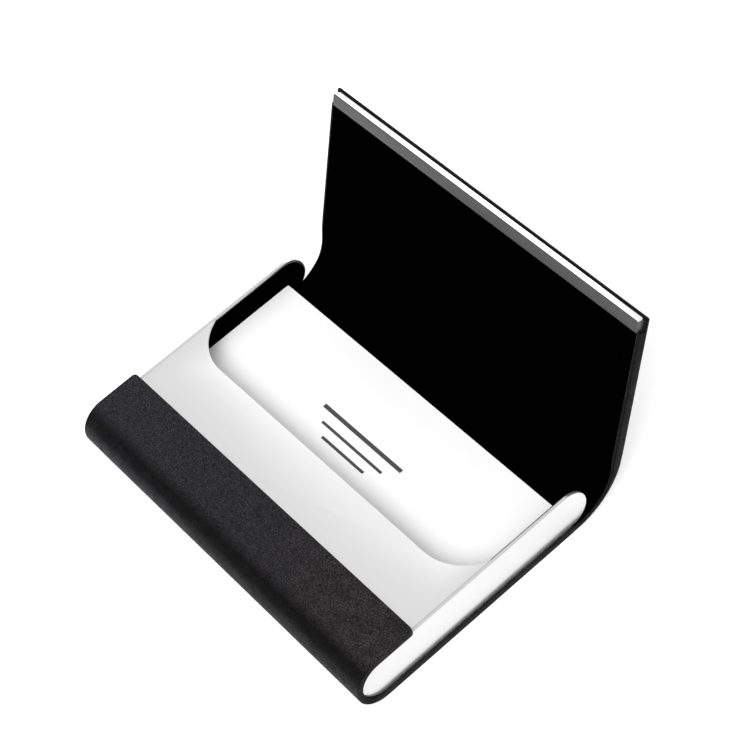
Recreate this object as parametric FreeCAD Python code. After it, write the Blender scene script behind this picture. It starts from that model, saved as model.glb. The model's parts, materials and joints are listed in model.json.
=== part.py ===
"""Flip-top business card case: a steel box in a leather wrap, with a leather spine and a stiffened lid.

Millimetres, +Z up. The origin is the centre of the box's footprint, on the outer face of the bottom
leather. X runs along the case, -Y is the front nose and +Y the spine. The lid stands open at rest.
"""
import FreeCAD, Part
import math
import os

# Metal box
CASE_WIDTH = 94.0          # over the outer faces of the two end caps
CASE_DEPTH = 61.6          # from nose to nose of an end cap
CASE_HEIGHT = 10.3         # height of the metal box, and the diameter of its noses
SHEET = 0.5                # folded steel sheet of the box
CAP_PLATE = 0.8            # end cap plate
BAND_REACH = 28.75         # from the front nose back to the window's straight edge
WINDOW_CORNER = 12.5       # radius of the window's two front corners

# Leather, padding and lining
SKIN = 0.6                 # leather
PADDING = 0.85             # soft padding between the leather and the box
LINING = 0.4               # black lining sheet
STRIP_REACH = 15.0         # from the front nose back to the edge of the leather strip
WRAP_OVERHANG = 0.5        # leather past each end cap
PADDING_SETBACK = 0.8      # padding stops this far short of the strip's edge
POCKET_LINING_REACH = 22.8 # from the front nose back to the lining's edge under the band
LINING_SEAM = 1.0          # the floor's and the pocket's linings meet this far behind the nose's bend
WALL_LINING_SETBACK = 0.05 # lining of an end cap, clear of the sheet's inside

# Lid and spine
BEND_RADIUS = 15.8         # outer radius of the spine as it stands open
OPEN_ANGLE = 68.5          # degrees that the spine turns up from the floor as it stands open
LID_REACH = 21.0           # from the front nose back to the free edge of the closed lid
LID_WIDTH = 96.2
LID_THICKNESS = 2.35
FOLD_COUNT = 3             # creases that stand for the spine's flexing
FIRST_FOLD = 3.2           # from the start of the bend to the first crease, along the crease line
FOLD_GAP = 0.4             # clearance between neighbouring strips of the spine
CLOSED_GAP = 0.3           # between the closed lid and the band
CORE_SETBACK = 0.8         # from the last crease's strip to the foot of the stiffener's bevel
CORE_BEVEL = 2.0           # length of the stiffener's bevelled edge
CORE_TOE = 0.25            # thickness left at the foot of that bevel
TRIM_DEPTH = 3.0           # trim bar, measured along the panel
TRIM_WIDTH = 94.6
TRIM_ROUND = 0.5           # rounding of the trim bar's two ends
LINING_INSET = 0.5         # lid lining, inside the turned-up leather on each side

# Magnets
MAGNET_LENGTH = 20.0
MAGNET_WIDTH = 4.0
MAGNET_OFFSET = 25.0       # from the middle of the case to the middle of a magnet
BAND_MAGNET_THICKNESS = 1.0
MAGNET_CLEARANCE = 0.1
MAGNET_EDGE = 0.5          # from the trim bar to a lid magnet's pocket

# Cards
CARD_WIDTH = 90.0
CARD_DEPTH = 50.0
CARD_THICKNESS = 0.3
CARD_GAP = 0.015
CARD_COUNT = 13
CARD_FLOAT = 0.1           # under the lowest card
CARD_REAR_GAP = 0.85       # from the cards' rear edges to the start of the spine

# Worked out from the sizes above
BOX_Z = SKIN + PADDING
NOSE = CASE_HEIGHT / 2
NOSE_Y = CASE_DEPTH / 2 - NOSE
NOSE_Z = BOX_Z + NOSE
BOX_TOP = BOX_Z + CASE_HEIGHT
FRONT = -CASE_DEPTH / 2
INSIDE_WIDTH = CASE_WIDTH - 2 * CAP_PLATE
LINED_WIDTH = INSIDE_WIDTH - 2 * LINING
WRAP_WIDTH = CASE_WIDTH + 2 * WRAP_OVERHANG
CARD_FRONT = NOSE_Y - CARD_REAR_GAP - CARD_DEPTH
FOLD_RADIUS = BEND_RADIUS - SKIN
BEND = math.radians(OPEN_ANGLE)
BEND_LENGTH = FOLD_RADIUS * BEND
CLOSE_TURN = (math.pi - BEND) / FOLD_COUNT


def path_point(station, height):
    """Point of the lid's path: station runs along the crease line, height stands in from the outer face."""
    if station <= 0:
        return FreeCAD.Vector(0, NOSE_Y + station, height)
    turn = min(station / FOLD_RADIUS, BEND)
    rest = max(station - BEND_LENGTH, 0)
    radius = BEND_RADIUS - height
    y = NOSE_Y + radius * math.sin(turn) + rest * math.cos(turn)
    z = BEND_RADIUS - radius * math.cos(turn) + rest * math.sin(turn)
    return FreeCAD.Vector(0, y, z)


def path_edges(start, end, height):
    """Edges along the lid's path at one height: lines on its flats and one arc round its bend."""
    stops = [start] + [s for s in (0, BEND_LENGTH) if start < s < end] + [end]
    edges = []
    for a, b in zip(stops, stops[1:]):
        middle = (a + b) / 2
        ends = path_point(a, height), path_point(b, height)
        if 0 < middle < BEND_LENGTH:
            edges.append(Part.Arc(ends[0], path_point(middle, height), ends[1]).toShape())
        else:
            edges.append(Part.makeLine(*ends))
    return edges


def closed_rise(pitch):
    """Height of the last crease with the lid closed, for a given distance between creases."""
    stations = [FIRST_FOLD + i * pitch for i in range(FOLD_COUNT)]
    rise = path_point(stations[0], SKIN).z
    for i in range(1, FOLD_COUNT):
        step = path_point(stations[i], SKIN) - path_point(stations[i - 1], SKIN)
        rise += step.Length * math.sin(math.atan2(step.z, step.y) + i * CLOSE_TURN)
    return rise


def fold_stations():
    """Creases spaced so that the lid closes flat, CLOSED_GAP above the band, by halving the bracket."""
    wanted = BOX_TOP + CLOSED_GAP + LID_THICKNESS - SKIN
    low, high = SKIN, 2 * CASE_HEIGHT
    while high - low > 1e-6:
        pitch = (low + high) / 2
        low, high = (pitch, high) if closed_rise(pitch) < wanted else (low, pitch)
    return [FIRST_FOLD + i * low for i in range(FOLD_COUNT)]


def closed_y(station):
    """Y of a station of the lid's flat panel when the lid is closed."""
    y = path_point(FOLDS[0], SKIN).y
    for i in range(1, FOLD_COUNT):
        step = path_point(FOLDS[i], SKIN) - path_point(FOLDS[i - 1], SKIN)
        y += step.Length * math.cos(math.atan2(step.z, step.y) + i * CLOSE_TURN)
    return y - (station - FOLDS[-1])


FOLDS = fold_stations()
PANEL_START = max(FOLDS[-1] + FOLD_GAP / 2, BEND_LENGTH)
LID_END = FOLDS[-1] + closed_y(FOLDS[-1]) - FRONT - LID_REACH


def extrude(edges, width, centre=0.0):
    """Solid of a closed outline in the YZ plane, as wide as stated along X."""
    face = Part.Face(Part.Wire(Part.__sortEdges__(edges)))
    face.translate(FreeCAD.Vector(centre - width / 2, 0, 0))
    return face.extrude(FreeCAD.Vector(width, 0, 0))


def outline(lower, upper):
    """Closed loop of two runs of edges that start at the same end, joined by a line at each end."""
    first = Part.makeLine(lower[0].firstVertex(True).Point, upper[0].firstVertex(True).Point)
    last = Part.makeLine(lower[-1].lastVertex(True).Point, upper[-1].lastVertex(True).Point)
    return lower + [last] + upper + [first]


def lines(points):
    """Straight edges through a run of points."""
    return [Part.makeLine(a, b) for a, b in zip(points, points[1:])]


def ribbon(start, end, low, high, width):
    """Strip of the lid's path between two stations and two heights."""
    return extrude(outline(path_edges(start, end, low), path_edges(start, end, high)), width)


def box_run(offset, bottom_end, top_end):
    """Edges round the front of the box's section, offset outwards, from the floor to the top."""
    radius = NOSE + offset
    low, high = NOSE_Z - radius, NOSE_Z + radius
    floor = Part.makeLine(FreeCAD.Vector(0, bottom_end, low), FreeCAD.Vector(0, -NOSE_Y, low))
    tip = FreeCAD.Vector(0, -NOSE_Y - radius, NOSE_Z)
    nose = Part.Arc(floor.lastVertex().Point, tip, FreeCAD.Vector(0, -NOSE_Y, high)).toShape()
    top = Part.makeLine(FreeCAD.Vector(0, -NOSE_Y, high), FreeCAD.Vector(0, top_end, high))
    return [floor, nose, top]


def box_wrap(inner, outer, bottom_end, top_end, width):
    """Sheet that follows the floor, the front nose and the top of the box between two offsets."""
    loops = outline(box_run(inner, bottom_end, top_end), box_run(outer, bottom_end, top_end))
    return extrude(loops, width)


def stadium(inset, thickness, x):
    """Plate with the box's full rounded outline, set in by inset, from x in the direction of +X."""
    radius = NOSE - inset
    ends = [FreeCAD.Vector(0, -NOSE_Y, NOSE_Z - radius), FreeCAD.Vector(0, NOSE_Y, NOSE_Z - radius)]
    tops = [FreeCAD.Vector(0, -NOSE_Y, NOSE_Z + radius), FreeCAD.Vector(0, NOSE_Y, NOSE_Z + radius)]
    front = Part.Arc(ends[0], FreeCAD.Vector(0, -NOSE_Y - radius, NOSE_Z), tops[0]).toShape()
    rear = Part.Arc(ends[1], FreeCAD.Vector(0, NOSE_Y + radius, NOSE_Z), tops[1]).toShape()
    return extrude([front, Part.makeLine(*tops), rear, Part.makeLine(*ends)], thickness, x + thickness / 2)


def block(width, depth, height, x, y, z):
    """Box with its middle at x and y, standing on z."""
    return Part.makeBox(width, depth, height, FreeCAD.Vector(x - width / 2, y - depth / 2, z))


def case_shell():
    """Folded sheet: floor, front nose and top band, with the card window cut into the band's rear."""
    window_edge = FRONT + BAND_REACH
    shell = box_wrap(-SHEET, 0, NOSE_Y, window_edge + WINDOW_CORNER, INSIDE_WIDTH)
    depth = 2 * WINDOW_CORNER + CASE_HEIGHT
    window = block(CASE_WIDTH, depth, CASE_HEIGHT, 0, window_edge + depth / 2, NOSE_Z)
    front_corners = [
        e for e in window.Edges
        if abs(e.CenterOfMass.y - window_edge) < SHEET and abs(e.CenterOfMass.z - NOSE_Z - NOSE) < SHEET
    ]
    corners = [e for e in front_corners if abs(e.CenterOfMass.x) > CASE_WIDTH / 4]
    return shell.cut(window.makeFillet(WINDOW_CORNER, corners))


def floor_lining():
    """Lining on the floor, running down over the sheet's rear edge on to the spine leather."""
    end = FOLDS[0] - FOLD_GAP / 2
    foot = end - LINING
    bottom = BOX_Z + SHEET
    front = FreeCAD.Vector(0, LINING_SEAM - NOSE_Y, bottom)
    brow = FreeCAD.Vector(0, NOSE_Y, bottom)
    rise = FreeCAD.Vector(0, 0, LINING)
    under = lines([front, brow, path_point(foot, SKIN)]) + path_edges(foot, end, SKIN)
    over = lines([front + rise, brow + rise, path_point(foot, SKIN + LINING)])
    return extrude(outline(under, over + path_edges(foot, end, SKIN + LINING)), LINED_WIDTH)


def pocket_lining():
    """Lining round the inside of the front nose and under the band."""
    top_end = FRONT + POCKET_LINING_REACH
    return box_wrap(-SHEET - LINING, -SHEET, LINING_SEAM - NOSE_Y, top_end, LINED_WIDTH)


def case_leather():
    """Leather of the top strip, the front nose and the bottom, as far as the spine's first crease."""
    wrap = box_wrap(PADDING, PADDING + SKIN, NOSE_Y, FRONT + STRIP_REACH, WRAP_WIDTH)
    tail = ribbon(0, FOLDS[0] - FOLD_GAP / 2, 0, SKIN, WRAP_WIDTH)
    return wrap.fuse(tail).removeSplitter()


def case_padding():
    """Soft padding under the case leather."""
    return box_wrap(0, PADDING, NOSE_Y, FRONT + STRIP_REACH - PADDING_SETBACK, CASE_WIDTH)


def lid_leather():
    """Outer leather of the lid, with its side edges turned up against the stiffener."""
    sheet = ribbon(FOLDS[-1] + FOLD_GAP / 2, LID_END, 0, SKIN, LID_WIDTH)
    wall = ribbon(PANEL_START + CORE_SETBACK + CORE_BEVEL, LID_END, SKIN, LID_THICKNESS - LINING, SKIN)
    for side in (-1, 1):
        hem = wall.copy()
        hem.translate(FreeCAD.Vector(side * (LID_WIDTH - SKIN) / 2, 0, 0))
        sheet = sheet.fuse(hem)
    return sheet.removeSplitter()


def panel_block(width, start, end, low, high, x):
    """Block lying in the flat panel of the lid, between two stations and two heights."""
    solid = ribbon(start, end, low, high, width)
    solid.translate(FreeCAD.Vector(x, 0, 0))
    return solid


def magnet_span():
    """Stations of the two edges of the magnets in the lid."""
    start = LID_END - TRIM_DEPTH - MAGNET_EDGE - MAGNET_CLEARANCE - MAGNET_WIDTH
    return start, start + MAGNET_WIDTH


def lid_magnet(side):
    """Bar magnet let into the stiffener."""
    start, end = magnet_span()
    low, high = SKIN + MAGNET_CLEARANCE / 2, LID_THICKNESS - LINING - MAGNET_CLEARANCE / 2
    return panel_block(MAGNET_LENGTH, start, end, low, high, side * MAGNET_OFFSET)


def lid_core():
    """Stiff board of the lid, bevelled towards the spine, with a pocket for each magnet."""
    start = PANEL_START + CORE_SETBACK
    end = LID_END - TRIM_DEPTH
    high = LID_THICKNESS - LINING
    under = path_edges(start, end, SKIN)
    bevel = [path_point(start, SKIN + CORE_TOE), path_point(start + CORE_BEVEL, high)]
    over = lines(bevel + [path_point(end, high)])
    core = extrude(outline(under, over), LID_WIDTH - 2 * SKIN - 2 * MAGNET_CLEARANCE)
    a, b = magnet_span()
    for side in (-1, 1):
        length = MAGNET_LENGTH + 2 * MAGNET_CLEARANCE
        pocket = panel_block(length, a - MAGNET_CLEARANCE, b + MAGNET_CLEARANCE, 0, LID_THICKNESS,
                             side * MAGNET_OFFSET)
        core = core.cut(pocket)
    return core


def lid_lining():
    """Lining of the lid: off the last crease, up the stiffener's bevel and along to the trim bar."""
    begin = FOLDS[-1] + FOLD_GAP / 2
    foot = PANEL_START + CORE_SETBACK
    end = LID_END - TRIM_DEPTH
    runs = []
    for low, high in ((SKIN, LID_THICKNESS - LINING), (SKIN + LINING, LID_THICKNESS)):
        ramp = [path_point(foot - LINING, low), path_point(foot, low + CORE_TOE)]
        ramp += [path_point(foot + CORE_BEVEL, high), path_point(end, high)]
        runs.append(path_edges(begin, foot - LINING, low) + lines(ramp))
    return extrude(outline(runs[0], runs[1]), LID_WIDTH - 2 * SKIN - 2 * LINING_INSET)


def lid_trim():
    """Metal bar along the lid's free edge, with rounded ends."""
    bar = panel_block(TRIM_WIDTH, LID_END - TRIM_DEPTH, LID_END, SKIN, LID_THICKNESS, 0)
    return bar.makeFillet(TRIM_ROUND, [e for e in bar.Edges if is_trim_end(e)])


def is_trim_end(edge):
    """True for the trim bar's edges that stand across the panel at its two ends, on the free side."""
    middle = edge.CenterOfMass
    free_edge = path_point(LID_END, (SKIN + LID_THICKNESS) / 2)
    return (middle - FreeCAD.Vector(middle.x, free_edge.y, free_edge.z)).Length < SHEET / 2 and (
        abs(middle.x) > TRIM_WIDTH / 2 - SHEET
    )


def band_magnet(side):
    """Bar magnet under the band, where the lid's magnet comes down."""
    pull = closed_y(sum(magnet_span()) / 2)
    z = BOX_TOP - SHEET - BAND_MAGNET_THICKNESS
    return block(MAGNET_LENGTH, MAGNET_WIDTH, BAND_MAGNET_THICKNESS, side * MAGNET_OFFSET, pull, z)


def pack_bottom():
    """Underside of the lowest card: just off the floor, or higher where it reaches into the nose's curve."""
    into_nose = max(-NOSE_Y - CARD_FRONT, 0)
    radius = NOSE - SHEET - LINING
    return NOSE_Z - math.sqrt(radius ** 2 - into_nose ** 2) + CARD_FLOAT


def card(level):
    """One card of the pack, counted up from the lowest."""
    z = pack_bottom() + level * (CARD_THICKNESS + CARD_GAP)
    return block(CARD_WIDTH, CARD_DEPTH, CARD_THICKNESS, 0, CARD_FRONT + CARD_DEPTH / 2, z)


def end_cap(side):
    """End plate of the box on one side."""
    return stadium(0, CAP_PLATE, INSIDE_WIDTH / 2 if side > 0 else -CASE_WIDTH / 2)


def wall_lining(side):
    """Lining on the inner face of one end cap."""
    inset = SHEET + WALL_LINING_SETBACK
    return stadium(inset, LINING, LINED_WIDTH / 2 if side > 0 else -INSIDE_WIDTH / 2)


def spine_strip(index, low, high, width):
    """Rigid strip of the spine between two neighbouring creases."""
    return ribbon(FOLDS[index] + FOLD_GAP / 2, FOLDS[index + 1] - FOLD_GAP / 2, low, high, width)


def nodes():
    """Every node of the case by name."""
    made = {
        "case_shell": case_shell(),
        "floor_lining": floor_lining(),
        "pocket_lining": pocket_lining(),
        "case_padding": case_padding(),
        "case_leather": case_leather(),
        "lid_leather": lid_leather(),
        "lid_core": lid_core(),
        "lid_lining": lid_lining(),
        "lid_trim": lid_trim(),
        "card_stack": Part.makeCompound([card(level) for level in range(CARD_COUNT - 1)]),
        "top_card": card(CARD_COUNT - 1),
    }
    for name, side in (("left", -1), ("right", 1)):
        made[name + "_end_cap"] = end_cap(side)
        made[name + "_wall_lining"] = wall_lining(side)
        made[name + "_band_magnet"] = band_magnet(side)
        made[name + "_lid_magnet"] = lid_magnet(side)
    for i in range(FOLD_COUNT - 1):
        made[f"spine_leather_{i + 1}"] = spine_strip(i, 0, SKIN, WRAP_WIDTH)
        made[f"spine_lining_{i + 1}"] = spine_strip(i, SKIN, SKIN + LINING, LINED_WIDTH)
    return made


def main():
    """Write one STEP file for each node."""
    os.makedirs("parts", exist_ok=True)
    for name, shape in nodes().items():
        shape.exportStep(os.path.join("parts", name + ".step"))
        box = shape.BoundBox
        print(f"{name}: {len(shape.Solids)} solids, valid {shape.isValid()}, "
              f"y {box.YMin:.2f}..{box.YMax:.2f}, z {box.ZMin:.2f}..{box.ZMax:.2f}, {shape.Volume:.1f} mm3")
    for i, station in enumerate(FOLDS):
        point = path_point(station, SKIN)
        print(f"crease {i + 1}: y {point.y:.4f}, z {point.z:.4f}")
    print(f"closing turn at each crease: {math.degrees(CLOSE_TURN):.4f} degrees")


if __name__ == "__main__":
    main()
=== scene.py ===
"""Business card case: leather, metal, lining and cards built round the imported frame.

Metres, +Z up, X along the case, -Y the front nose and +Y the spine. The lid stands open at rest.
"""

import json
import logging
import math
import random
from collections.abc import Callable, Iterable, Sequence
from dataclasses import dataclass
from enum import Enum

import bmesh
import bpy
from mathutils import Matrix, Vector

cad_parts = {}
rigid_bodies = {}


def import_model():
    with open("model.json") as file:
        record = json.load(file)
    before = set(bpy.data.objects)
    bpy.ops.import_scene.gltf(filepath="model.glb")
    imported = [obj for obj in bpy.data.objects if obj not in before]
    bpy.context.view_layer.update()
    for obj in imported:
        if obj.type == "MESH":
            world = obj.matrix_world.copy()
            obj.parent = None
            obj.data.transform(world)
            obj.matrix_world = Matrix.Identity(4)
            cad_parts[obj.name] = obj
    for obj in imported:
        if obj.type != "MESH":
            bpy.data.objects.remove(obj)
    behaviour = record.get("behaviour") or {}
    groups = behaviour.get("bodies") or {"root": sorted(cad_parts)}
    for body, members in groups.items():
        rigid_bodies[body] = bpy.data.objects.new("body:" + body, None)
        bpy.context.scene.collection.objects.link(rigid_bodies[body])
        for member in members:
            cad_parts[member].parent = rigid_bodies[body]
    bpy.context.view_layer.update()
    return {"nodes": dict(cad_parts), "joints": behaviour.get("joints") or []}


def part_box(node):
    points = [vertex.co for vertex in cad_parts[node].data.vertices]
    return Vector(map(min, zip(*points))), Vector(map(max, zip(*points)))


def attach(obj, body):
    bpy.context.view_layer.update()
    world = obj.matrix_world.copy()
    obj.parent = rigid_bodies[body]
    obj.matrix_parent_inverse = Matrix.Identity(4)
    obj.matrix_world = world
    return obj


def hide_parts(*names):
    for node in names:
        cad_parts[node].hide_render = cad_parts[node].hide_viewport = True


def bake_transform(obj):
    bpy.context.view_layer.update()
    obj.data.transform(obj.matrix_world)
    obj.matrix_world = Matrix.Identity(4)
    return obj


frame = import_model()
LOG = logging.getLogger("card_case")

MM = 0.001
X_AXIS = Vector((1.0, 0.0, 0.0))
TURN_STEP = math.radians(1.5)     # longest turn between two rows of a curved sheet
PULL_STEP = 0.5 * MM              # longest run between two rows of a sheet that flexes
SHARP = math.radians(32)          # edges sharper than this keep a crisp shade
CORNER = math.radians(60)         # edges sharper than this are a thin piece's own corners
LID_THICKNESS = 2.35 * MM
TRIM_DEPTH = 3.0 * MM             # how far the trim bar reaches in from the lid's free edge
TRIM_SEAT = 0.6 * MM              # height of its seat over the lid's outer face


# ---------------------------------------------------------------- shading

class Wire:
    """A shader value that takes part in arithmetic: an expression adds its Math nodes."""

    def __init__(self, sketch: "Graph", socket: bpy.types.NodeSocket) -> None:
        """Wrap one output socket of a graph."""
        self.sketch = sketch
        self.socket = socket

    def _join(self, operation: str, first: object, second: object) -> "Wire":
        """Add one Math node."""
        return self.sketch.add("ShaderNodeMath", {"operation": operation}, {0: first, 1: second})

    def __add__(self, other: object) -> "Wire":
        """Sum."""
        return self._join("ADD", self, other)

    def __rsub__(self, other: object) -> "Wire":
        """Difference from a number."""
        return self._join("SUBTRACT", other, self)

    def __mul__(self, other: object) -> "Wire":
        """Product."""
        return self._join("MULTIPLY", self, other)

    __radd__ = __add__
    __rmul__ = __mul__

    def within(self, low: float, high: float) -> "Wire":
        """One where the value lies between two limits, and nought elsewhere."""
        above = self._join("GREATER_THAN", self, low)
        return above * self._join("LESS_THAN", self, high)


class Graph:
    """Node tree that is built by small steps."""

    def __init__(self, tree: bpy.types.NodeTree) -> None:
        """Empty a node tree."""
        self.tree = tree
        self.tree.nodes.clear()

    def add(self, kind: str, settings: dict, inputs: dict, output: object = 0) -> Wire:
        """Add a node.

        Args:
            kind: the node's type.
            settings: attributes, or the stops of a colour ramp under the key "stops".
            inputs: values or wires by socket name or number.
            output: name or number of the output that is wanted.

        Returns:
            The wanted output as a wire.
        """
        node = self.tree.nodes.new(kind)
        for key, value in settings.items():
            if key == "stops":
                self._set_stops(node.color_ramp, value)
            else:
                setattr(node, key, value)
        for key, value in inputs.items():
            self.plug(node.inputs[key], value)
        return Wire(self, node.outputs[output])

    @staticmethod
    def _set_stops(ramp: bpy.types.ColorRamp, stops: Sequence[tuple[float, Sequence[float]]]) -> None:
        """Write a ramp's stops as (place, colour)."""
        while len(ramp.elements) < len(stops):
            ramp.elements.new(1.0)
        for element, (place, colour) in zip(ramp.elements, stops):
            element.position = place
            element.color = (*colour, 1.0)

    def plug(self, socket: bpy.types.NodeSocket, value: object) -> None:
        """Link a wire to a socket, or set the socket's own value."""
        if isinstance(value, Wire):
            self.tree.links.new(value.socket, socket)
        else:
            socket.default_value = value

    def place(self) -> Wire:
        """Object coordinates, in metres."""
        return self.add("ShaderNodeTexCoord", {}, {}, "Object")

    def split(self, vector: Wire) -> tuple[Wire, Wire, Wire]:
        """The three parts of a vector."""
        first = self.add("ShaderNodeSeparateXYZ", {}, {0: vector})
        outputs = first.socket.node.outputs
        return tuple(Wire(self, outputs[i]) for i in range(3))

    def noise(self, vector: Wire, scale: float, detail: float = 2.0) -> Wire:
        """Noise from 0 to 1 at a scale per metre."""
        inputs = {"Vector": vector, "Scale": scale, "Detail": detail}
        return self.add("ShaderNodeTexNoise", {}, inputs, "Fac")

    def ramp(self, value: Wire, *stops: tuple[float, Sequence[float]]) -> Wire:
        """Colour ramp."""
        return self.add("ShaderNodeValToRGB", {"stops": stops}, {0: value}, "Color")

    def grade(self, value: Wire, low: float, high: float, start: float, end: float) -> Wire:
        """Map a value from one range to another, clamped."""
        numbers = {"From Min": low, "From Max": high, "To Min": start, "To Max": end}
        return self.add("ShaderNodeMapRange", {"clamp": True}, {"Value": value, **numbers})

    def mix(self, factor: object, first: object, second: object) -> Wire:
        """Blend of two colours."""
        settings = {"data_type": "RGBA", "clamp_factor": True}
        return self.add("ShaderNodeMix", settings, {0: factor, 6: first, 7: second}, 2)

    def stretch(self, vector: Wire, scale: tuple[float, float, float]) -> Wire:
        """Scale the pattern's coordinates unevenly."""
        return self.add("ShaderNodeMapping", {"vector_type": "POINT"}, {"Vector": vector, "Scale": scale})


class Sketch(Graph):
    """Material round one Principled shader."""

    def __init__(self, name: str) -> None:
        """Start an empty material."""
        self.material = bpy.data.materials.new(name)
        self.material.use_nodes = True
        super().__init__(self.material.node_tree)
        self.shader = self.tree.nodes.new("ShaderNodeBsdfPrincipled")
        output = self.tree.nodes.new("ShaderNodeOutputMaterial")
        self.tree.links.new(self.shader.outputs[0], output.inputs[0])

    def emboss(self, height: Wire, depth: float, strength: float = 1.0) -> None:
        """Bump the surface by a height from 0 to 1, depth metres deep."""
        values = {"Height": height, "Distance": depth, "Strength": strength}
        self.set(Normal=self.add("ShaderNodeBump", {}, values, "Normal"))

    def set(self, **inputs: object) -> None:
        """Set or link the shader's inputs, with underscores for the spaces in their names."""
        for key, value in inputs.items():
            self.plug(self.shader.inputs[key.replace("_", " ")], value)


def grey(level: float) -> tuple[float, float, float, float]:
    """A neutral linear colour."""
    return (level, level, level, 1.0)


@dataclass(frozen=True)
class LeatherFinish:
    """Charcoal leather with a fine pebble grain, cooler to the left and browner to the right, and a band of
    painted shade across the front nose.
    """

    cool: tuple[float, float, float] = (0.0185, 0.0185, 0.0245)
    warm: tuple[float, float, float] = (0.0140, 0.0128, 0.0130)
    worn: tuple[float, float, float] = (0.066, 0.052, 0.050)
    # light specks painted on the grain as glints
    painted_glint: tuple[float, float, float] = (0.060, 0.058, 0.065)
    # dark tone of the grain's grooves and of the edge paint, and, thinned, of the painted shade on the nose
    groove_and_shade_tone: float = 0.003
    swirl_scale: float = 900.0        # all scales are patterns per metre
    swirl_depth: float = 0.25 * MM
    pebble_scale: float = 1700.0
    crease_scale: float = 420.0
    fine_scale: float = 5200.0
    scuff_scale: float = 330.0
    painted_glint_scale: float = 4200.0
    pebble_depth: float = 0.20 * MM
    # Y limits of a band of painted shade across the front nose: it darkens over the first two, holds, and
    # fades over the last two
    nose_shade_band: tuple[float, ...] = (-32.2 * MM, -30.8 * MM, -29.2 * MM, -26.6 * MM)
    paint: tuple[float, float] = (47.0 * MM, 47.7 * MM)    # X where the edge paint begins and is full
    top_paint: tuple[float, float] = (44.8 * MM, 45.0 * MM)

    def make(self) -> bpy.types.Material:
        """Build the material.

        Returns:
            The leather.
        """
        sketch = Sketch("leather")
        place = sketch.place()
        across, along, rise = sketch.split(place)
        side = sketch.grade(across + 0.03 * sketch.noise(place, 45.0), -0.045, 0.055, 0.0, 1.0)
        base = sketch.mix(side, (*self.cool, 1.0), (*self.warm, 1.0))
        swirl = sketch.add("ShaderNodeTexNoise", {}, {"Vector": place, "Scale": self.swirl_scale}, "Color")
        warp = sketch.add("ShaderNodeVectorMath", {"operation": "SCALE"},
                          {0: swirl, "Scale": self.swirl_depth})
        bent = sketch.add("ShaderNodeVectorMath", {"operation": "ADD"}, {0: place, 1: warp})
        cells = sketch.add("ShaderNodeTexVoronoi", {"feature": "DISTANCE_TO_EDGE"},
                           {"Vector": bent, "Scale": self.pebble_scale}, "Distance")
        pebble = sketch.grade(cells, 0.0, 0.16, 0.0, 1.0)
        creases = sketch.grade(sketch.noise(place, self.crease_scale, 5.0), 0.40, 0.60, 0.0, 1.0)
        fine = sketch.noise(place, self.fine_scale, 3.0)
        wear = sketch.noise(place, self.scuff_scale, 6.0)
        scuff = sketch.grade(wear * side, 0.34, 0.60, 0.0, 0.45)
        shade = sketch.mix(scuff * pebble, base, (*self.worn, 1.0))
        # Painted glints: light specks on the grain, fewer on the browner right side
        glint_specks = sketch.grade(sketch.noise(place, self.painted_glint_scale, 2.0), 0.42, 0.68, 0.0, 0.95)
        glint_specks = glint_specks * sketch.grade(side, 0.0, 1.0, 1.0, 0.6)
        shade = sketch.mix(glint_specks, shade, (*self.painted_glint, 1.0))
        dip = sketch.grade(pebble, 0.0, 1.0, 0.80, 0.0)
        grained = sketch.mix(dip, shade, grey(self.groove_and_shade_tone))
        # Painted shade: a dark band across the front nose, standing in for the shade that falls there
        low, floor, crest, high = self.nose_shade_band
        front = sketch.grade(along, low, floor, 0.0, 0.9) * sketch.grade(along, crest, high, 1.0, 0.0)
        inner, outer = (x * x for x in self.paint)
        edge = sketch.grade(across * across, inner, outer, 0.0, 0.8)
        edge = edge + sketch.grade(rise, *self.top_paint, 0.0, 0.9)
        dark = sketch.mix(front, grained, grey(self.groove_and_shade_tone * 0.3))
        sketch.set(Base_Color=sketch.mix(edge, dark, grey(self.groove_and_shade_tone)))
        sketch.set(Roughness=0.62 - 0.14 * creases + 0.08 * fine, Specular_IOR_Level=0.06)
        sketch.emboss(0.55 * pebble + 0.30 * creases + 0.15 * fine, self.pebble_depth, 0.75)
        return sketch.material


@dataclass(frozen=True)
class LiningFinish:
    """Dead black lining paper with a short nap."""

    tone: float = 0.0003
    nap_scale: float = 4200.0

    def make(self) -> bpy.types.Material:
        """Build the material.

        Returns:
            The lining.
        """
        sketch = Sketch("lining")
        nap = sketch.noise(sketch.place(), self.nap_scale, 4.0)
        sketch.set(Base_Color=sketch.mix(nap, grey(self.tone * 0.4), grey(self.tone * 1.6)))
        sketch.set(Roughness=0.90 + 0.08 * nap, Specular_IOR_Level=0.0)
        sketch.emboss(nap, 0.03 * MM, 0.4)
        return sketch.material


@dataclass(frozen=True)
class MetalFinish:
    """Steel with a drawn grain along X, from satin to polished."""

    name: str
    tone: float
    roughness: float
    grain: float
    metallic: float = 1.0
    draw_scale: tuple[float, float, float] = (25.0, 5200.0, 5200.0)
    cloud_scale: float = 38.0

    def make(self) -> bpy.types.Material:
        """Build the material.

        Returns:
            The metal.
        """
        sketch = Sketch(self.name)
        place = sketch.place()
        drawn = sketch.noise(sketch.stretch(place, self.draw_scale), 1.0, 3.0)
        cloud = sketch.noise(place, self.cloud_scale, 2.0)
        tone = sketch.grade(drawn + 0.5 * cloud, 0.45, 1.05, self.tone * (1.0 - self.grain), self.tone)
        sketch.set(Base_Color=sketch.ramp(tone, (0.0, (0.0, 0.0, 0.0)), (1.0, (1.0, 1.0, 1.0))))
        sketch.set(Metallic=self.metallic, Roughness=self.roughness * (0.85 + 0.3 * drawn))
        sketch.emboss(drawn, 0.004 * MM, self.grain * 2.0)
        return sketch.material


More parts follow.
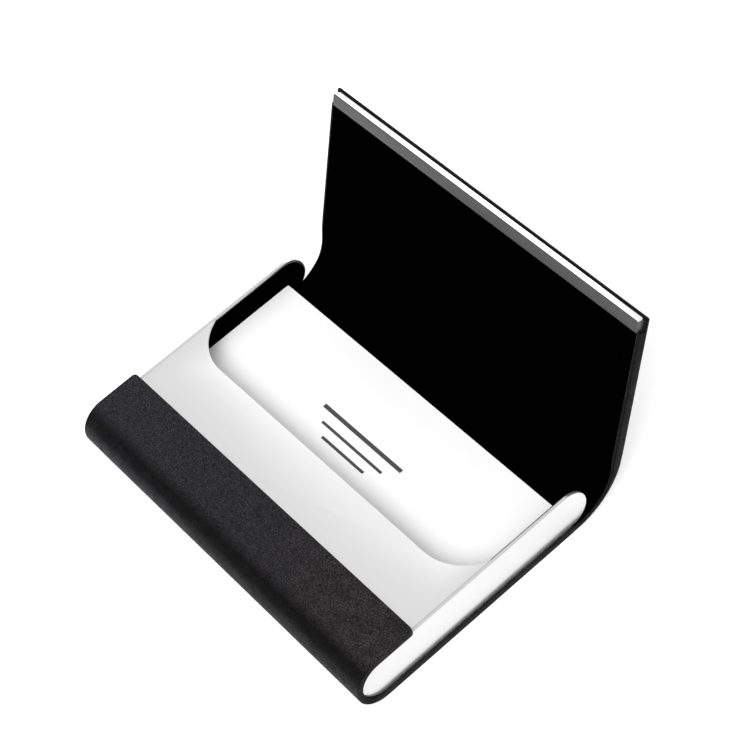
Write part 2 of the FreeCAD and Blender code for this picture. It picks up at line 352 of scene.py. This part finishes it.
@dataclass(frozen=True)
class MagnetFinish:
    """Matt dark coat of the hidden magnets."""

    colour: tuple[float, float, float] = (0.045, 0.045, 0.05)
    roughness: float = 0.35
    speck_scale: float = 1800.0

    def make(self) -> bpy.types.Material:
        """Build the material.

        Returns:
            The coat.
        """
        sketch = Sketch("magnet_coat")
        speck = sketch.noise(sketch.place(), self.speck_scale, 4.0)
        dark = tuple(c * 0.8 for c in self.colour)
        sketch.set(Base_Color=sketch.mix(speck, (*dark, 1.0), (*self.colour, 1.0)))
        sketch.set(Roughness=self.roughness + 0.1 * speck)
        sketch.emboss(speck, 0.02 * MM, 0.5)
        return sketch.material


@dataclass(frozen=True)
class CardFinish:
    """Smooth white card, with a centred block of plain rows if bars are asked for."""

    name: str
    tone: float = 0.94
    ink: float = 0.02
    bars: tuple[tuple[float, float, float, float], ...] = ()    # lowest and highest X, then Y, of each
    tooth_scale: float = 3500.0
    cloud_scale: float = 30.0

    def make(self) -> bpy.types.Material:
        """Build the material.

        Returns:
            The card.
        """
        sketch = Sketch(self.name)
        place = sketch.place()
        across, along, _ = sketch.split(place)
        tooth = sketch.noise(place, self.tooth_scale, 4.0)
        cloud = sketch.noise(place, self.cloud_scale, 2.0)
        paper = sketch.mix(cloud, grey(self.tone * 0.97), grey(self.tone))
        for left, right, near, far in self.bars:
            mask = across.within(left, right) * along.within(near, far)
            paper = sketch.mix(mask * (0.92 + 0.08 * tooth), paper, grey(self.ink))
        sketch.set(Base_Color=paper, Roughness=0.50 + 0.1 * tooth, Specular_IOR_Level=0.3)
        sketch.emboss(tooth, 0.008 * MM, 0.4)
        return sketch.material


# ---------------------------------------------------------------- the frame's sizes

@dataclass(frozen=True)
class BoxFrame:
    """Sizes of the metal box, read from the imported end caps, and of the sheets on it."""

    left: float
    right: float
    nose: float
    nose_y: float
    nose_z: float
    cap_plate: float
    sheet: float = 0.5 * MM
    skin: float = 0.6 * MM
    lining: float = 0.4 * MM
    window_reach: float = 28.75 * MM
    window_corner: float = 12.5 * MM

    @classmethod
    def read(cls) -> "BoxFrame":
        """Measure the two end caps.

        Returns:
            The box's sizes.
        """
        left_low, left_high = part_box("left_end_cap")
        _, right_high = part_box("right_end_cap")
        nose = (left_high.z - left_low.z) / 2
        return cls(left_low.x, right_high.x, nose, left_high.y - nose, left_low.z + nose,
                   left_high.x - left_low.x)

    @property
    def top(self) -> float:
        """Height of the band's face."""
        return self.nose_z + self.nose

    @property
    def floor(self) -> float:
        """Height of the box's underside, which is the thickness of the leather and padding under it."""
        return self.nose_z - self.nose

    @property
    def inside(self) -> float:
        """Width between the end caps."""
        return self.right - self.left - 2 * self.cap_plate

    @property
    def nose_centre(self) -> Vector:
        """Centre of the front nose's round."""
        return Vector((0.0, -self.nose_y, self.nose_z))

    @property
    def front(self) -> float:
        """Y of the front nose."""
        return -self.nose_y - self.nose


@dataclass(frozen=True)
class LidPath:
    """The spine's and lid's outer face as a path: flat, a bend up, then the flat panel."""

    start_y: float
    skin: float
    bend_radius: float = 15.8 * MM
    turn: float = math.radians(68.5)

    @property
    def crease_radius(self) -> float:
        """Radius of the crease line, between leather and lining."""
        return self.bend_radius - self.skin

    @property
    def bend_length(self) -> float:
        """Station where the bend ends."""
        return self.crease_radius * self.turn

    @property
    def centre(self) -> Vector:
        """Centre of the bend."""
        return Vector((0.0, self.start_y, self.bend_radius))

    def heading(self, angle: float) -> Vector:
        """Direction of the path once it has turned by an angle."""
        return Vector((0.0, math.cos(angle), math.sin(angle)))

    def point(self, station: float, height: float) -> Vector:
        """Point at a station, standing in from the outer face.

        Args:
            station: distance along the crease line from the start of the bend.
            height: distance in from the outer face.

        Returns:
            The point, at X nought.
        """
        angle = min(max(station / self.crease_radius, 0.0), self.turn)
        rest = station - self.crease_radius * angle
        inward = Vector((0.0, -math.sin(angle), math.cos(angle)))
        return self.centre - inward * (self.bend_radius - height) + self.heading(angle) * rest

    def station_of(self, point: Vector) -> float:
        """Station of a point on the crease line."""
        arm = point - self.centre
        angle = math.atan2(arm.y, -arm.z)
        if angle <= self.turn:
            return self.crease_radius * angle
        return self.bend_length + (point - self.point(self.bend_length, self.skin)).length


# ---------------------------------------------------------------- sheet work

class Strip:
    """A flat bar that grows from its first face by straight pulls and by turns about X."""

    def __init__(self, width: float, low: Vector, high: Vector) -> None:
        """Lay the first face between two points of its thickness, centred on X nought."""
        self.mesh = bmesh.new()
        half = X_AXIS * width / 2
        corners = [self.mesh.verts.new(p) for p in (low - half, low + half, high + half, high - half)]
        self.first = self.mesh.faces.new(corners)
        self.last = self.first

    def _grow(self) -> list[bmesh.types.BMVert]:
        """Extrude the last face and return its new corners."""
        region = [self.last, *self.last.edges]
        grown = bmesh.ops.extrude_face_region(self.mesh, geom=region)["geom"]
        self.last = next(g for g in grown if isinstance(g, bmesh.types.BMFace))
        return list(self.last.verts)

    def pull(self, way: Vector) -> "Strip":
        """Grow straight on by one row."""
        bmesh.ops.translate(self.mesh, verts=self._grow(), vec=way)
        return self

    def turn(self, centre: Vector, angle: float) -> "Strip":
        """Grow round a centre line along X.

        Args:
            centre: a point of that line.
            angle: whole turn by the right-hand rule.

        Returns:
            This strip.
        """
        count = max(1, math.ceil(abs(angle) / TURN_STEP))
        step = Matrix.Rotation(angle / count, 3, "X")
        for _ in range(count):
            bmesh.ops.rotate(self.mesh, verts=self._grow(), cent=centre, matrix=step)
        return self

    def follow(self, rows: Sequence[tuple[Vector, Vector, float]]) -> "Strip":
        """Grow through given rows.

        Args:
            rows: low point, high point and width of each row.

        Returns:
            This strip.
        """
        for low, high, width in rows:
            corners = self._grow()
            heart = sum((c.co for c in corners), Vector()) / len(corners)
            for corner in corners:
                place = high if (corner.co - heart).dot(high - low) > 0 else low
                corner.co = place + X_AXIS * math.copysign(width / 2, corner.co.x)
        return self


def slab(width: float, outline: Sequence[Vector]) -> bmesh.types.BMesh:
    """Solid with a side outline, pulled along X and centred on X nought.

    Args:
        width: size along X.
        outline: points of the outline in order.

    Returns:
        The mesh.
    """
    mesh = bmesh.new()
    start = X_AXIS * (-width / 2)
    face = mesh.faces.new([mesh.verts.new(p + start) for p in outline])
    grown = bmesh.ops.extrude_face_region(mesh, geom=[face])["geom"]
    moved = [g for g in grown if isinstance(g, bmesh.types.BMVert)]
    bmesh.ops.translate(mesh, verts=moved, vec=X_AXIS * width)
    return mesh


def plate(outline: Sequence[Vector], rise: float) -> bmesh.types.BMesh:
    """Plate with a plan outline, pulled up by its thickness."""
    mesh = bmesh.new()
    face = mesh.faces.new([mesh.verts.new(p) for p in outline])
    grown = bmesh.ops.extrude_face_region(mesh, geom=[face])["geom"]
    moved = [g for g in grown if isinstance(g, bmesh.types.BMVert)]
    bmesh.ops.translate(mesh, verts=moved, vec=(0.0, 0.0, rise))
    return mesh


def round_edges(mesh: bmesh.types.BMesh, radius: float, segments: int,
                wanted: Callable[[bmesh.types.BMEdge], bool], sharp: float = SHARP) -> None:
    """Round the sharp edges that a test picks.

    Args:
        mesh: the mesh to work on.
        radius: size of the round.
        segments: facets across it.
        wanted: test of an edge.
        sharp: least angle between an edge's faces.
    """
    bmesh.ops.recalc_face_normals(mesh, faces=mesh.faces)
    edges = [e for e in mesh.edges if e.calc_face_angle(0.0) > sharp and wanted(e)]
    bmesh.ops.bevel(mesh, geom=edges, offset=radius, offset_type="OFFSET", segments=segments, profile=0.5,
                    affect="EDGES", clamp_overlap=True, material=-1)


def ease(share: float) -> float:
    """Smooth step from nought to one."""
    return share * share * (3.0 - 2.0 * share)


def middle(edge: bmesh.types.BMEdge) -> Vector:
    """Middle of an edge."""
    return (edge.verts[0].co + edge.verts[1].co) / 2


def run_of(edge: bmesh.types.BMEdge) -> Vector:
    """Direction of an edge."""
    return (edge.verts[1].co - edge.verts[0].co).normalized()


def publish(mesh: bmesh.types.BMesh, name: str, finishes: Sequence[bpy.types.Material],
            body: str | None, replaces: Iterable[str] = ()) -> bpy.types.Object:
    """Turn a mesh into a finished piece of the case.

    Args:
        mesh: the mesh, which is freed.
        name: the piece's name.
        finishes: its materials.
        body: the body that it rides on, or none to leave it tied to no body.
        replaces: the nodes that it stands for.

    Returns:
        The piece.
    """
    bmesh.ops.recalc_face_normals(mesh, faces=mesh.faces)
    for face in mesh.faces:
        face.smooth = True
    for edge in mesh.edges:
        edge.smooth = edge.calc_face_angle(math.pi) < SHARP
    data = bpy.data.meshes.new(name)
    mesh.to_mesh(data)
    mesh.free()
    piece = bpy.data.objects.new(name, data)
    bpy.context.scene.collection.objects.link(piece)
    for finish in finishes:
        data.materials.append(finish)
    if body:
        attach(piece, body)
    if replaces:
        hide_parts(*replaces)
    LOG.info("%s: %d faces", name, len(data.polygons))
    return piece


def dress(node: str, finish: bpy.types.Material) -> None:
    """Give a CAD node its finish."""
    target = frame["nodes"][node]
    for holder in target.material_slots:
        holder.material = finish
    if not target.material_slots:
        target.data.materials.append(finish)
    LOG.info("%s: dressed with %s", node, finish.name)


# ---------------------------------------------------------------- sub-assemblies

class Side(Enum):
    """The two ends of the case."""

    LEFT = -1
    RIGHT = 1

    @property
    def word(self) -> str:
        """Lower-case name."""
        return self.name.lower()


@dataclass
class MetalBox:
    """Folded sheet with the card window, and the two end caps."""

    box: BoxFrame
    satin: bpy.types.Material
    cap_metal: bpy.types.Material
    nose_segments: int = 48
    rim: float = 0.07 * MM
    cap_rim: float = 0.16 * MM

    def band_outline(self) -> list[Vector]:
        """Plan of the band: straight at the nose, with the window's round corners at the rear.

        Returns:
            Points in order round the band.
        """
        box = self.box
        edge = box.front + box.window_reach
        half = box.inside / 2
        centre_x = box.right - box.window_corner
        last = math.acos((half - centre_x) / box.window_corner)
        steps = math.ceil((math.pi / 2 - last) / (2 * TURN_STEP))
        arc = []
        for i in range(steps + 1):
            angle = math.pi / 2 - (math.pi / 2 - last) * i / steps
            x = centre_x + box.window_corner * math.cos(angle)
            y = edge + box.window_corner * (1 - math.sin(angle))
            arc.append(Vector((x, y, box.top)))
        mirrored = [Vector((-p.x, p.y, p.z)) for p in reversed(arc)]
        front = [Vector((side * half, -box.nose_y, box.top)) for side in (-1, 1)]
        return front + list(reversed(arc)) + list(reversed(mirrored))

    def build_shell(self) -> None:
        """Make the sheet: the band's plan, spun round the nose and run back along the floor."""
        box = self.box
        mesh = bmesh.new()
        corners = [mesh.verts.new(p) for p in self.band_outline()]
        mesh.faces.new(corners)
        front = mesh.edges.get(corners[:2])
        spun = bmesh.ops.spin(mesh, geom=[front, *corners[:2]], cent=box.nose_centre, axis=X_AXIS,
                              angle=math.pi, steps=self.nose_segments)
        last = [g for g in spun["geom_last"] if isinstance(g, bmesh.types.BMEdge)]
        grown = bmesh.ops.extrude_edge_only(mesh, edges=last)["geom"]
        moved = [g for g in grown if isinstance(g, bmesh.types.BMVert)]
        bmesh.ops.translate(mesh, verts=moved, vec=(0.0, 2 * box.nose_y, 0.0))
        bmesh.ops.remove_doubles(mesh, verts=mesh.verts, dist=0.001 * MM)
        bmesh.ops.recalc_face_normals(mesh, faces=mesh.faces)
        if max(mesh.faces, key=lambda f: len(f.verts)).normal.z < 0:
            bmesh.ops.reverse_faces(mesh, faces=mesh.faces)
        bmesh.ops.solidify(mesh, geom=mesh.faces[:], thickness=box.sheet)
        round_edges(mesh, self.rim, 2, lambda e: True, CORNER)
        publish(mesh, "metal_band", [self.satin], "case", ["case_shell"])

    def build_cap(self, side: Side) -> None:
        """Make one end cap: a circle drawn out to a long round-ended plate.

        Args:
            side: which end.
        """
        box = self.box
        mesh = bmesh.new()
        segments = 2 * self.nose_segments
        bmesh.ops.create_circle(mesh, cap_ends=True, radius=box.nose, segments=segments)
        turn = Matrix.Rotation(math.pi / 2, 3, "Y") @ Matrix.Rotation(math.pi / segments, 3, "Z")
        bmesh.ops.rotate(mesh, verts=mesh.verts, cent=(0, 0, 0), matrix=turn)
        outer = box.right if side is Side.RIGHT else box.left
        inner = outer - side.value * box.cap_plate
        bmesh.ops.translate(mesh, verts=mesh.verts, vec=(inner, 0.0, box.nose_z))
        for way in (-1, 1):
            half = [v for v in mesh.verts if v.co.y * way > 0]
            bmesh.ops.translate(mesh, verts=half, vec=(0.0, way * box.nose_y, 0.0))
        grown = bmesh.ops.extrude_face_region(mesh, geom=mesh.faces[:])["geom"]
        moved = [g for g in grown if isinstance(g, bmesh.types.BMVert)]
        bmesh.ops.translate(mesh, verts=moved, vec=X_AXIS * side.value * box.cap_plate)
        round_edges(mesh, self.cap_rim, 3, lambda e: True)
        node = f"{side.word}_end_cap"
        publish(mesh, f"{side.word}_cap", [self.cap_metal], "case", [node])

    def build(self) -> None:
        """Make the sheet and both caps."""
        self.build_shell()
        for side in Side:
            self.build_cap(side)


@dataclass
class LeatherWrap:
    """Leather of the strip, nose and bottom, the three flexing stretches of the spine, and the lid."""

    box: BoxFrame
    path: LidPath
    leather: bpy.types.Material
    lining: bpy.types.Material
    folds: Sequence[float]
    lid_end: float
    strip_reach: float = 15.0 * MM
    overhang: float = 0.5 * MM
    corner: float = 0.9 * MM
    lid_corner: float = 0.35 * MM
    lip: float = 0.25 * MM            # how far the lid's leather stands past its bar
    turned_edge: float = 0.50 * MM
    side_edge: float = 0.22 * MM
    thin_edge: float = 0.12 * MM
    lid_width: float = 96.2 * MM
    lid_lining_width: float = 94.4 * MM
    panel_lead: float = 2.6 * MM      # from the last crease to where the lid turns stiff
    heel_end: float = 4.5 * MM        # station where the floor's padding has run out
    board_start: float = 9.5 * MM     # station where the lid begins to swell to its full thickness
    board_full: float = 19.5 * MM
    flex_start: float = 1.3 * MM      # station where the spine leaves the floor
    drop: float = 1.2 * MM            # run over which the lining falls off the sheet's rear edge
    drop_steps: int = 12
    lining_inset: float = 1.0 * MM    # how far behind the nose's centre the floor lining begins

    @property
    def skin(self) -> float:
        """Thickness of the leather."""
        return self.box.skin

    @property
    def board(self) -> float:
        """Height of the lid's leather and board, under its lining."""
        return LID_THICKNESS - self.box.lining

    @property
    def width(self) -> float:
        """Width of the leather on the case."""
        return self.box.right - self.box.left + 2 * self.overhang

    @property
    def seams(self) -> list[float]:
        """Stations where one flexing stretch hands over to the next."""
        inner = [(a + b) / 2 for a, b in zip(self.folds, self.folds[1:])]
        return [0.0, *inner, self.folds[-1] + self.panel_lead]

    def build_wrap(self) -> None:
        """Make the leather of the strip, the nose and the bottom."""
        box = self.box
        rear = box.front + self.strip_reach
        low, high = Vector((0.0, rear, box.top)), Vector((0.0, rear, box.top + box.floor))
        strip = Strip(self.width, low, high)
        strip.pull(Vector((0.0, -box.nose_y - rear, 0.0)))
        strip.turn(box.nose_centre, math.pi)
        strip.pull(Vector((0.0, 2 * box.nose_y, 0.0)))
        mesh = strip.mesh
        round_edges(mesh, self.corner, 6, lambda e: abs(run_of(e).z) > 0.9
                    and abs(middle(e).y - rear) < self.skin)
        round_edges(mesh, self.turned_edge, 5, lambda e: middle(e).z > high.z - self.skin / 2
                    and middle(e).y > rear - self.corner and not self.on_side(e))
        round_edges(mesh, self.side_edge, 3, lambda e: self.on_side(e) and not self.at_seam(e))
        publish(mesh, "leather_wrap", [self.leather], "case", ["case_leather", "case_padding"])

    def on_side(self, edge: bmesh.types.BMEdge) -> bool:
        """True for an edge along either side of a sheet."""
        return abs(run_of(edge).x) < 0.5 and abs(middle(edge).x) > self.width / 2 - self.skin

    def at_seam(self, edge: bmesh.types.BMEdge) -> bool:
        """True for an edge that stands on a sheet's last row under the box."""
        return abs(middle(edge).y - self.box.nose_y) < self.thin_edge and abs(run_of(edge).z) > 0.5

    def body_height(self, station: float) -> float:
        """Height of the leather's inner face: thick on the floor, thin in the spine, thick in the lid."""
        heel = 1.0 - min(max(station / self.heel_end, 0.0), 1.0)
        swell = min(max((station - self.board_start) / (self.board_full - self.board_start), 0.0), 1.0)
        thick = (self.box.floor - self.skin) * ease(heel) + (self.board - self.skin) * ease(swell)
        return self.skin + thick

    def flexing(self, start: float, end: float, outer: bool, first: float, last: float) -> Strip:
        """Stretch of the spine between two stations.

        Args:
            start: first station.
            end: last station.
            outer: the leather if true, or else the lining on it.
            first: width at the start.
            last: width at the end.

        Returns:
            The strip.
        """
        count = math.ceil((end - start) / PULL_STEP)
        rows = []
        for i in range(count + 1):
            station = start + (end - start) * i / count
            face = self.body_height(station)
            low, high = (0.0, face) if outer else (face, face + self.box.lining)
            rows.append((self.path.point(station, low), self.path.point(station, high),
                         first + (last - first) * i / count))
        low, high, width = rows[0]
        return Strip(width, low, high).follow(rows[1:])

    def build_spine(self) -> None:
        """Make the flexing stretches of leather and of lining, each baked where it lies and tied to no
        body.
        """
        bodies = [j["parent"] for j in frame["joints"] if j["name"].startswith("spine_fold")] + ["lid"]
        grow = (self.lid_width - self.width) / self.seams[-1]
        for i, (start, end) in enumerate(zip(self.seams, self.seams[1:])):
            lead = self.flex_start if i == 0 else start
            for part, finish in (("leather", self.leather), ("lining", self.lining)):
                outer = part == "leather"
                span = [self.width + grow * s if outer else self.lid_lining_width for s in (start, end)]
                strip = self.flexing(start, end, outer, *span)
                half = span[0] / 2 - self.skin
                round_edges(strip.mesh, self.thin_edge, 2,
                            lambda e: abs(run_of(e).x) < 0.5 and abs(middle(e).x) > half
                            and not any(f in (strip.first, strip.last) for f in e.link_faces))
                nodes = [f"spine_{part}_{i + 1}"] if i < len(self.folds) - 1 else []
                piece = publish(strip.mesh, f"{part}_flex_{i + 1}", [finish], None, nodes)
                bodies[i + 1]
                self.path.point(lead, self.skin)
                self.path.point(end, self.skin)
                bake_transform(piece)

    def panel(self, *places: tuple[float, float]) -> list[Vector]:
        """Outline on the lid's flat panel from (station, height) places."""
        return [self.path.point(s, h) for s, h in places]

    def build_lid(self) -> None:
        """Make the lid's leather round its board, with the seat for the trim bar, and its lining."""
        start = self.seams[-1]
        seat, tip_end = self.lid_end - TRIM_DEPTH, self.lid_end + self.lip
        mesh = slab(self.lid_width, self.panel(
            (start, 0.0), (tip_end, 0.0), (tip_end, TRIM_SEAT), (seat, TRIM_SEAT),
            (seat, self.board), (start, self.board)))
        tip = self.path.point(tip_end, 0.0)
        round_edges(mesh, self.lid_corner, 4, lambda e: (middle(e) - tip).yz.length < self.skin
                    and abs(run_of(e).x) < 0.5)
        root = self.path.point(start, self.skin)
        round_edges(mesh, self.thin_edge, 2, lambda e: (middle(e) - root).yz.length > LID_THICKNESS)
        publish(mesh, "lid_cover", [self.leather], "lid", ["lid_leather", "lid_core"])
        sheet = slab(self.lid_lining_width, self.panel(
            (start, self.board), (seat, self.board), (seat, LID_THICKNESS), (start, LID_THICKNESS)))
        round_edges(sheet, self.thin_edge, 2, lambda e: abs(run_of(e).x) < 0.5
                    and (middle(e) - root).yz.length > LID_THICKNESS)
        publish(sheet, "lid_lining_sheet", [self.lining], "lid", ["lid_lining"])

    def build_floor(self) -> None:
        """Make the floor lining, which runs off the sheet's rear edge in a soft S on to the spine."""
        box = self.box
        bed, front_y = box.floor + box.sheet, self.lining_inset - box.nose_y
        foot = self.path.point(0.0, self.body_height(0.0))
        lip = foot + Vector((0.0, 0.0, box.lining))
        brow_y = foot.y - self.drop
        upper = [Vector((0.0, front_y, bed + box.lining))]
        for i in range(self.drop_steps + 1):
            share = i / self.drop_steps
            fall = (lip.z - bed - box.lining) * ease(share)
            upper.append(Vector((0.0, brow_y + self.drop * share, bed + box.lining + fall)))
        under = [foot, Vector((0.0, brow_y, bed)), Vector((0.0, front_y, bed))]
        mesh = slab(box.inside - 2 * box.lining, upper + under)
        publish(mesh, "floor_lining_sheet", [self.lining], "case", ["floor_lining"])

    def build(self) -> None:
        """Make every leather and lining sheet."""
        self.build_wrap()
        self.build_spine()
        self.build_lid()
        self.build_floor()


@dataclass
class TrimBar:
    """Polished bar on the lid's free edge, darker on the face that looks down into the case."""

    path: LidPath
    lid_end: float
    polished: bpy.types.Material
    inner: bpy.types.Material
    width: float = 94.6 * MM
    end_round: float = 0.6 * MM
    rim: float = 0.06 * MM

    def build(self) -> None:
        """Make the bar."""
        path = self.path
        rear, free_end = self.lid_end - TRIM_DEPTH, self.lid_end
        outline = [path.point(rear, TRIM_SEAT), path.point(free_end, TRIM_SEAT),
                   path.point(free_end, LID_THICKNESS), path.point(rear, LID_THICKNESS)]
        mesh = slab(self.width, outline)
        free = path.point(free_end, (TRIM_SEAT + LID_THICKNESS) / 2)
        round_edges(mesh, self.end_round, 5, lambda e: abs(run_of(e).x) < 0.5
                    and (middle(e) - free).yz.length < TRIM_SEAT)
        round_edges(mesh, self.rim, 3, lambda e: True)
        out = path.heading(path.turn)
        for face in mesh.faces:
            face.normal_update()
            face.material_index = 0 if face.normal.dot(out) > 0.5 else 1
        publish(mesh, "trim_bar", [self.polished, self.inner], "lid", ["lid_trim"])


@dataclass
class CardPack:
    """The pack of blank cards and the loose one on top."""

    plain: bpy.types.Material
    marked: bpy.types.Material
    seed: int = 4
    scatter: float = 0.12 * MM
    corner: float = 0.35 * MM
    rim: float = 0.04 * MM
    count: int = 12

    def card(self, low: Vector, high: Vector, shift: Vector) -> bmesh.types.BMesh:
        """One card between two corners, shifted a little.

        Args:
            low: lowest corner.
            high: highest corner.
            shift: offset of the whole card.

        Returns:
            The mesh.
        """
        plan = [Vector((x, y, low.z)) + shift for x, y in
                ((low.x, low.y), (high.x, low.y), (high.x, high.y), (low.x, high.y))]
        mesh = plate(plan, high.z - low.z)
        round_edges(mesh, self.corner, 3, lambda e: abs(run_of(e).z) > 0.9)
        round_edges(mesh, self.rim, 1, lambda e: abs(run_of(e).z) < 0.5, CORNER)
        return mesh

    def build(self) -> None:
        """Make the pack, each card a hair out of line, and the top card."""
        draw = random.Random(self.seed)
        low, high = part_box("card_stack")
        top_low, top_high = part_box("top_card")
        thickness = top_high.z - top_low.z
        pitch = (top_low.z - low.z) / self.count
        pack = bmesh.new()
        for i in range(self.count):
            base = low.z + i * pitch
            shift = Vector((draw.uniform(-1, 1), draw.uniform(-1, 0), 0.0)) * self.scatter
            one = self.card(Vector((low.x, low.y, base)), Vector((high.x, high.y, base + thickness)), shift)
            holder = bpy.data.meshes.new("card")
            one.to_mesh(holder)
            one.free()
            pack.from_mesh(holder)
            bpy.data.meshes.remove(holder)
        publish(pack, "card_pack", [self.plain], "cards", ["card_stack"])
        top = self.card(top_low, top_high, Vector())
        publish(top, "loose_top_card", [self.marked], "loose_card", ["top_card"])


@dataclass(frozen=True)
class Lamp:
    """One square soft light."""

    name: str
    place: tuple[float, float, float]
    size: float
    power: float

    def hang(self) -> None:
        """Hang the lamp so that it faces the case."""
        data = bpy.data.lights.new(self.name, "AREA")
        data.shape, data.size, data.energy = "SQUARE", self.size, self.power
        lamp = bpy.data.objects.new(self.name, data)
        lamp.location = self.place
        lamp.rotation_mode = "QUATERNION"
        lamp.rotation_quaternion = Vector(self.place).to_track_quat("Z", "Y")
        bpy.context.scene.collection.objects.link(lamp)


@dataclass
class Studio:
    """Pale floor, soft light and the camera."""

    eye: tuple[float, float, float] = (0.27704, -0.11072, 0.41580)
    azimuth: float = math.radians(65.64)
    elevation: float = math.radians(52.34)
    roll: float = math.radians(-19.96)
    lens: float = 114.11
    shift: tuple[float, float] = (0.0104, 0.0077)
    floor_size: float = 12.0
    floor_drop: float = 0.02 * MM
    floor_tone: float = 0.95
    floor_glow: float = 0.30
    sky: float = 0.90
    flag: tuple[float, float, float] = (-0.56, -0.74, 0.38)
    flag_edge: tuple[float, float] = (0.80, 0.97)    # cosines of its outer and inner edge
    flag_level: float = 0.12
    lamps: tuple[Lamp, ...] = (Lamp("key", (0.32, -0.62, 0.78), 0.60, 6.5),
                               Lamp("low_box", (-0.50, 0.65, 0.41), 0.45, 0.9))

    def build_floor(self) -> None:
        """Lay the floor."""
        mesh = bmesh.new()
        bmesh.ops.create_grid(mesh, x_segments=4, y_segments=4, size=self.floor_size / 2)
        bmesh.ops.translate(mesh, verts=mesh.verts, vec=(0.0, 0.0, -self.floor_drop))
        data = bpy.data.meshes.new("floor")
        mesh.to_mesh(data)
        mesh.free()
        floor = bpy.data.objects.new("floor", data)
        bpy.context.scene.collection.objects.link(floor)
        sketch = Sketch("floor_paper")
        sketch.set(Base_Color=grey(self.floor_tone), Roughness=0.9, Specular_IOR_Level=0.1)
        sketch.set(Emission_Color=grey(1.0), Emission_Strength=self.floor_glow)
        data.materials.append(sketch.material)

    def build_sky(self) -> None:
        """Light the room evenly but for one dark flag, low on the left of the front."""
        world = bpy.data.worlds.new("room")
        world.use_nodes = True
        graph = Graph(world.node_tree)
        way = graph.add("ShaderNodeTexCoord", {}, {}, "Generated")
        nearness = graph.add("ShaderNodeVectorMath", {"operation": "DOT_PRODUCT"},
                             {0: way, 1: Vector(self.flag).normalized()}, "Value")
        strength = graph.grade(nearness, *self.flag_edge, self.sky, self.flag_level)
        light = graph.add("ShaderNodeBackground", {}, {"Color": grey(1.0), "Strength": strength})
        output = graph.tree.nodes.new("ShaderNodeOutputWorld")
        graph.plug(output.inputs[0], light)
        bpy.context.scene.world = world

    def build_camera(self) -> None:
        """Set the camera up, turned about its own axis by the roll."""
        back = Vector((math.sin(self.azimuth) * math.cos(self.elevation),
                       -math.cos(self.azimuth) * math.cos(self.elevation), math.sin(self.elevation)))
        level = Vector((math.cos(self.azimuth), math.sin(self.azimuth), 0.0))
        rise = back.cross(level)
        right = level * math.cos(self.roll) + rise * math.sin(self.roll)
        up = back.cross(right)
        data = bpy.data.cameras.new("camera")
        data.lens, data.sensor_width = self.lens, 36.0
        data.shift_x, data.shift_y = self.shift
        camera = bpy.data.objects.new("camera", data)
        turn = Matrix((right, up, back)).transposed().to_4x4()
        camera.matrix_world = Matrix.Translation(Vector(self.eye)) @ turn
        bpy.context.scene.collection.objects.link(camera)
        bpy.context.scene.camera = camera

    def build(self) -> None:
        """Set the whole studio up."""
        self.build_floor()
        self.build_sky()
        for lamp in self.lamps:
            lamp.hang()
        self.build_camera()
        bpy.context.scene.view_settings.view_transform = "Standard"


# ---------------------------------------------------------------- assembly

def crease_stations(path: LidPath) -> list[float]:
    """Stations of the creases, from the frame's joints.

    Args:
        path: the lid's path.

    Returns:
        The stations in order from the case.
    """
    folds = [j for j in frame["joints"] if j["name"].startswith("spine_fold")]
    return [path.station_of(Vector((0.0, j["pos_m"][1], j["pos_m"][2]))) for j in folds]


def main() -> None:
    """Build the case, its cards and the studio."""
    logging.basicConfig(level=logging.INFO, format="%(message)s")
    box = BoxFrame.read()
    path = LidPath(box.nose_y, box.skin)
    trim_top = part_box("lid_trim")[1].z
    panel_foot = path.point(path.bend_length, LID_THICKNESS)
    lid_end = path.bend_length + (trim_top - panel_foot.z) / math.sin(path.turn)
    leather, lining = LeatherFinish().make(), LiningFinish().make()
    satin = MetalFinish("satin_steel", tone=0.79, roughness=0.34, grain=0.05).make()
    bright = MetalFinish("bright_steel", tone=0.665, roughness=0.24, grain=0.03, metallic=0.8).make()
    MetalBox(box, satin, bright).build()
    LeatherWrap(box, path, leather, lining, crease_stations(path), lid_end).build()
    polished = MetalFinish("polished_steel", tone=0.92, roughness=0.10, grain=0.02).make()
    shaded = MetalFinish("shaded_steel", tone=0.13, roughness=0.55, grain=0.05).make()
    TrimBar(path, lid_end, polished, shaded).build()
    bars = ((-13.0 * MM, 13.0 * MM, 8.6 * MM, 9.6 * MM), (-10.0 * MM, 10.0 * MM, 5.6 * MM, 6.3 * MM),
            (-7.0 * MM, 7.0 * MM, 3.0 * MM, 3.7 * MM))
    CardPack(CardFinish("card_plain").make(), CardFinish("card_top", bars=bars).make()).build()
    magnet = MagnetFinish().make()
    for side in Side:
        dress(f"{side.word}_wall_lining", lining)
        for kind in ("band", "lid"):
            dress(f"{side.word}_{kind}_magnet", magnet)
    dress("pocket_lining", lining)
    Studio().build()


if __name__ == "__main__":
    main()
